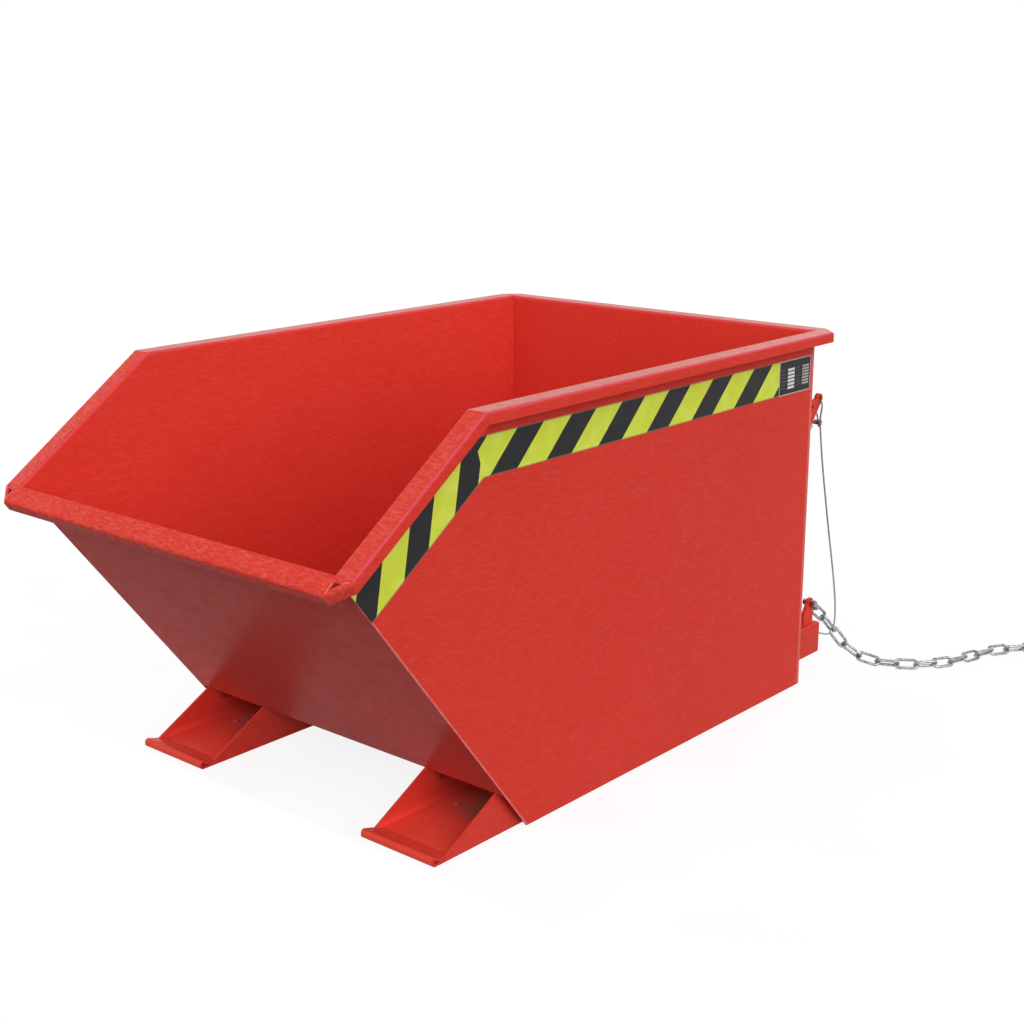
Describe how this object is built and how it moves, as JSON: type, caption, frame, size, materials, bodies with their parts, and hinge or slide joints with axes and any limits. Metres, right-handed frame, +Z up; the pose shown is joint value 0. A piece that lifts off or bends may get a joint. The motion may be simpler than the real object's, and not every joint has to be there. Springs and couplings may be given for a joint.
{
  "type": "forklift tipping skip",
  "caption": "Red sheet-steel tipping skip for a forklift: open hopper with a sloped front and folded rim, hinged on fork skids, with a rope-released latch and a safety chain.",
  "frame": {"origin": "on the ground, under the middle of the skip's length and width, without rope and chain", "axes": "+X to the right-hand side, -Y to the mouth, +Y to the truck, +Z up"},
  "size_m": [1.4853, 2.3814, 0.936],
  "materials": {
    "red_paint": "gloss enamel, slightly uneven",
    "galvanised": "galvanised, dull",
    "bright_steel": "bright zinc plate",
    "bronze": "machined bronze",
    "hazard_tape": "fluorescent yellow-green and black stripes",
    "label": "printed plate, blank fields"
  },
  "bodies": {
    "base_frame": {"skid_left": "red_paint", "skid_right": "red_paint", "sleeve_top_left": "red_paint", "sleeve_top_right": "red_paint", "hinge_ear_left_outer": "red_paint", "hinge_ear_left_inner": "red_paint", "hinge_ear_right_outer": "red_paint", "hinge_ear_right_inner": "red_paint", "hinge_shaft_left": "bright_steel", "hinge_shaft_right": "bright_steel", "shaft_washers": "bright_steel", "shaft_split_pins": "bright_steel", "cross_member_front": "red_paint", "cross_member_rear": "red_paint", "latch_post": "red_paint", "post_foot_plate": "red_paint", "post_cap": "red_paint", "post_gusset": "red_paint", "latch_pivot_pin": "bright_steel", "pivot_washers": "bright_steel", "pivot_split_pin": "bright_steel", "latch_stop_peg": "bright_steel", "chain_anchor_plate": "red_paint", "chain_shackle": "galvanised", "chain_shackle_pin": "galvanised", "safety_chain": "galvanised", "chain_end_ring": "galvanised", "rope_line": "galvanised", "rope_ferrule": "galvanised", "rope_end_eye": "galvanised"},
    "container": {"side_panel_left": "red_paint", "side_panel_right": "red_paint", "rear_wall": "red_paint", "front_plate": "red_paint", "floor_plate": "red_paint", "rim_corner_front_left": "red_paint", "rim_corner_front_right": "red_paint", "rim_corner_rear_left": "red_paint", "rim_corner_rear_right": "red_paint", "bearing_strip_left": "red_paint", "bearing_strip_right": "red_paint", "floor_stiffener_front": "red_paint", "floor_stiffener_rear": "red_paint", "hinge_lug_left_outer": "red_paint", "hinge_lug_left_inner": "red_paint", "hinge_lug_right_outer": "red_paint", "hinge_lug_right_inner": "red_paint", "hinge_bushes": "bronze", "catch_plate": "red_paint", "catch_pin": "bright_steel", "hazard_tape_left": "hazard_tape", "hazard_tape_right": "hazard_tape", "rating_plate": "label"},
    "latch": {"latch_lever": "red_paint", "latch_hook": "red_paint", "rope_eye": "galvanised", "rope_clip_saddle": "galvanised", "rope_clip_bolt": "galvanised", "rope_clip_nuts": "galvanised"}
  },
  "joints": [
    {"name": "container_tip", "type": "hinge", "parent": "base_frame", "child": "container", "pos_m": [0, -0.40158, 0.11828], "axis": [1, 0, 0], "range_deg": [0, 72]},
    {"name": "latch_swing", "type": "hinge", "parent": "base_frame", "child": "latch", "pos_m": [0.447, 0.8251, 0.672], "axis": [-1, 0, 0], "range_deg": [-35, 0]}
  ]
}
